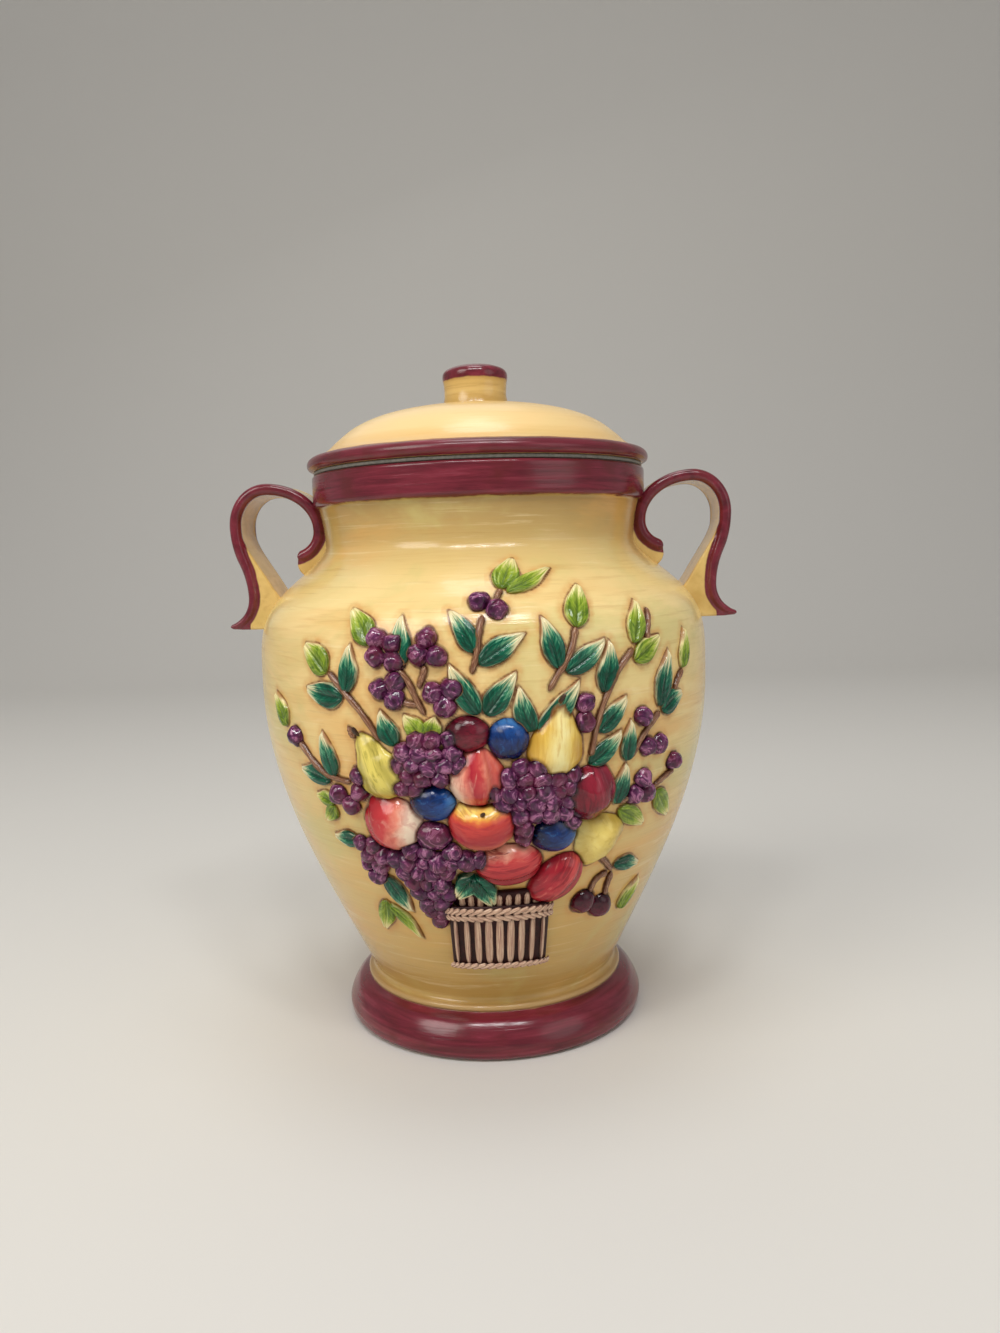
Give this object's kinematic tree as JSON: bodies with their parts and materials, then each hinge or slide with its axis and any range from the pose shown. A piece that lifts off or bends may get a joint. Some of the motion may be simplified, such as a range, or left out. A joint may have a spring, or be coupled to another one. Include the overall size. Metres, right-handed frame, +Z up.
{
  "type": "biscuit jar",
  "caption": "Round lidded ceramic biscuit jar with scroll handles, a footed belly, a domed lid with a seal and knob, and a fruit basket in relief.",
  "frame": {"origin": "centre of the foot, on the plane that the jar stands on", "axes": "+Z up along the jar's axis, handles on +X and -X, the relief and the front towards -Y"},
  "size_m": [0.2204, 0.1968, 0.2823],
  "materials": {
    "cream_glaze": "glossy hand-brushed cream-yellow glaze",
    "lid_glaze": "glossy pale cream glaze with a burgundy rim",
    "handle_glaze": "glossy cream-yellow glaze with burgundy edges",
    "knob_glaze": "glossy cream glaze with a burgundy cap",
    "seal_rubber": "matt grey-white silicone",
    "nectarine_red": "glossy hand-painted red glaze",
    "plum_blue": "glossy hand-painted deep blue glaze",
    "plum_red": "glossy hand-painted dark red glaze",
    "apple_glaze": "glossy yellow to red-orange glaze",
    "grape_purple": "glossy mottled purple glaze",
    "peach_glaze": "glossy coral to cream glaze",
    "pear_glaze": "glossy yellow glaze",
    "cherry_glaze": "glossy maroon glaze",
    "stem_brown": "glossy brown glaze",
    "basket_glaze": "glossy cream and mauve glaze with brown gaps",
    "basket_gap": "glossy dark brown glaze",
    "berry_purple": "glossy mottled purple glaze",
    "leaf_teal": "glossy teal-green glaze with pale edges",
    "leaf_olive": "glossy olive-yellow glaze"
  },
  "bodies": {
    "jar": {"jar_body": "cream_glaze", "handle_right": "handle_glaze", "handle_left": "handle_glaze", "nectarine_right": "nectarine_red", "nectarine_left": "nectarine_red", "plum_blue_lower": "plum_blue", "plum_blue_left": "plum_blue", "plum_blue_upper": "plum_blue", "plum_red": "plum_red", "apple": "apple_glaze", "grape_large": "grape_purple", "peach_left": "peach_glaze", "peach_upper": "peach_glaze", "pear_right": "pear_glaze", "pear_left": "pear_glaze", "striped_plum": "plum_red", "quince": "pear_glaze", "grapes_upper_left": "grape_purple", "grapes_right": "grape_purple", "grapes_lower": "grape_purple", "cherries": "cherry_glaze", "cherry_stems": "stem_brown", "basket_slats": "basket_glaze", "basket_foot_band": "basket_glaze", "basket_rim_band": "basket_glaze", "basket_wall": "basket_gap", "basket_far_rim": "basket_gap", "basket_leaf": "leaf_teal", "berries_left": "berry_purple", "berries_top": "berry_purple", "berries_right": "berry_purple", "teal_leaves_top": "leaf_teal", "teal_leaves_right": "leaf_teal", "teal_leaves_left": "leaf_teal", "olive_leaves_left": "leaf_olive", "olive_leaves_top": "leaf_olive", "olive_leaves_right": "leaf_olive", "stems_left": "stem_brown", "stems_top": "stem_brown", "stems_right": "stem_brown"},
    "seal": {"lid_seal": "seal_rubber"},
    "lid": {"lid_dome": "lid_glaze", "lid_knob": "knob_glaze"}
  },
  "joints": [
    {"name": "lid_lift", "type": "slide", "parent": "jar", "child": "seal", "axis": [0, 0, 1], "range_m": [0, 0.06]},
    {"name": "lid_turn", "type": "hinge", "parent": "seal", "child": "lid", "pos_m": [0, 0, 0.2381], "axis": [0, 0, 1], "continuous": true}
  ]
}
